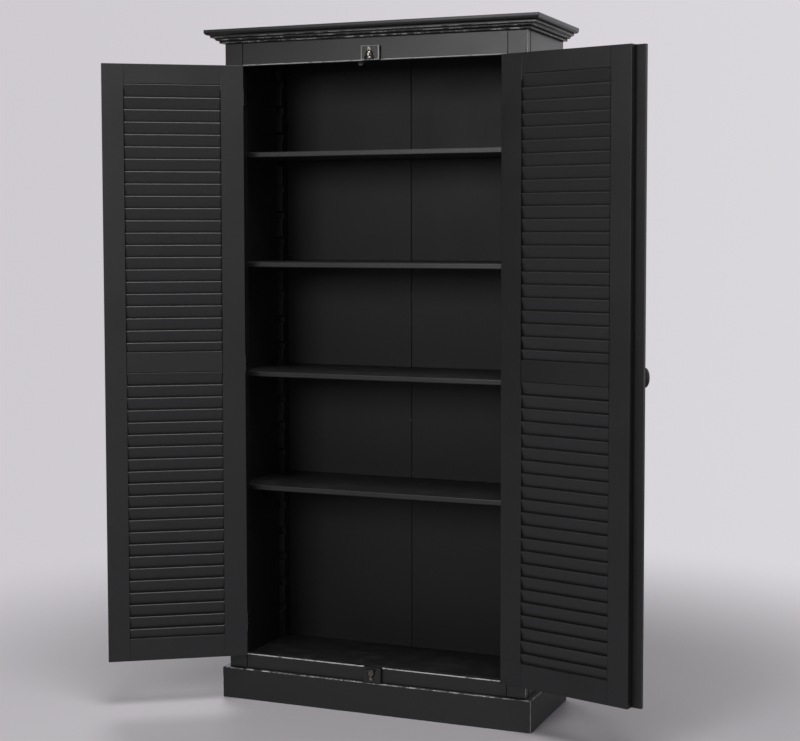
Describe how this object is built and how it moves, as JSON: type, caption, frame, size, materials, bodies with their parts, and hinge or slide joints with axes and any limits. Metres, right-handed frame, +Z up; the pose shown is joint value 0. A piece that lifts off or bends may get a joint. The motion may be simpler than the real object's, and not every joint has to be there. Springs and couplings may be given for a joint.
{
  "type": "louvred door cabinet",
  "caption": "Tall black painted linen cupboard with a pair of framed louvred doors, adjustable shelves on toothed racks, a cremone bolt, a moulded cornice and a plinth.",
  "frame": {"origin": "on the floor, at the middle of the carcass in width and depth", "axes": "+Z up, front of the cabinet towards -Y, +X to the viewer's right"},
  "size_m": [1.5866, 0.5914, 2],
  "materials": {
    "black_paint": "satin black paint, rubbed through at the edges",
    "interior_paint": "matt black paint",
    "black_iron": "black japanned iron",
    "antique_steel": "darkened, worn bright on the high spots",
    "screw_steel": "bright zinc"
  },
  "bodies": {
    "carcass": {"back_panel_left": "interior_paint", "back_panel_right": "interior_paint", "bottom_catch_block": "black_paint", "bottom_keeper": "antique_steel", "catch_screws": "screw_steel", "cornice_cap": "black_paint", "crown_front": "black_paint", "crown_left": "black_paint", "crown_right": "black_paint", "face_bottom_rail": "black_paint", "face_top_rail": "black_paint", "floor_bearer": "interior_paint", "floor_board": "interior_paint", "hinge_frame_leaves": "antique_steel", "hinge_frame_screws": "screw_steel", "hinge_pins": "antique_steel", "left_door_stops": "antique_steel", "left_face_stile": "black_paint", "left_side_panel": "black_paint", "plinth_front": "black_paint", "plinth_left": "black_paint", "plinth_right": "black_paint", "right_face_stile": "black_paint", "right_side_panel": "black_paint", "shelf_1": "interior_paint", "shelf_2": "interior_paint", "shelf_3": "interior_paint", "shelf_4": "interior_paint", "shelf_cleats": "interior_paint", "shelf_racks": "interior_paint", "top_board": "interior_paint", "top_catch_block": "black_paint", "top_keeper": "antique_steel"},
    "left_door": {"left_bottom_rail": "black_paint", "left_hinge_leaves": "antique_steel", "left_hinge_screws": "screw_steel", "left_hinge_stile": "black_paint", "left_lower_slats": "black_paint", "left_meeting_stile": "black_paint", "left_mid_rail": "black_paint", "left_top_rail": "black_paint", "left_upper_slats": "black_paint"},
    "right_door": {"right_bottom_rail": "black_paint", "right_hinge_leaves": "antique_steel", "right_hinge_screws": "screw_steel", "right_hinge_stile": "black_paint", "right_lower_slats": "black_paint", "right_meeting_stile": "black_paint", "right_mid_rail": "black_paint", "right_top_rail": "black_paint", "right_upper_slats": "black_paint", "astragal": "black_paint", "cremone_case": "black_iron", "cremone_screws": "screw_steel", "rod_guides": "black_iron"},
    "knob": {"cremone_spindle": "screw_steel", "cremone_knob": "black_iron"},
    "upper_rod": {"upper_bolt_rod": "black_iron"},
    "lower_rod": {"lower_bolt_rod": "black_iron"}
  },
  "joints": [
    {"name": "left_door_hinge", "type": "hinge", "parent": "carcass", "child": "left_door", "pos_m": [-0.411, -0.1725, 0], "axis": [0, 0, 1], "range_deg": [-28.1, 146.9]},
    {"name": "right_door_hinge", "type": "hinge", "parent": "carcass", "child": "right_door", "pos_m": [0.411, -0.1725, 0], "axis": [0, 0, -1], "range_deg": [-10.5, 164.5]},
    {"name": "knob_turn", "type": "hinge", "parent": "right_door", "child": "knob", "pos_m": [0.81041, -0.27024, 1.018], "axis": [0.2672, 0.9636, 0], "range_deg": [0, 90]},
    {"name": "upper_rod_slide", "type": "slide", "parent": "right_door", "child": "upper_rod", "axis": [0, 0, 1], "range_m": [0, 0.012]},
    {"name": "lower_rod_slide", "type": "slide", "parent": "right_door", "child": "lower_rod", "axis": [0, 0, -1], "range_m": [0, 0.012]}
  ],
  "couplings": [
    {"joint": "upper_rod_slide", "follows": "knob_turn", "m_per_rad": 0.0076394},
    {"joint": "lower_rod_slide", "follows": "knob_turn", "m_per_rad": 0.0076394}
  ]
}
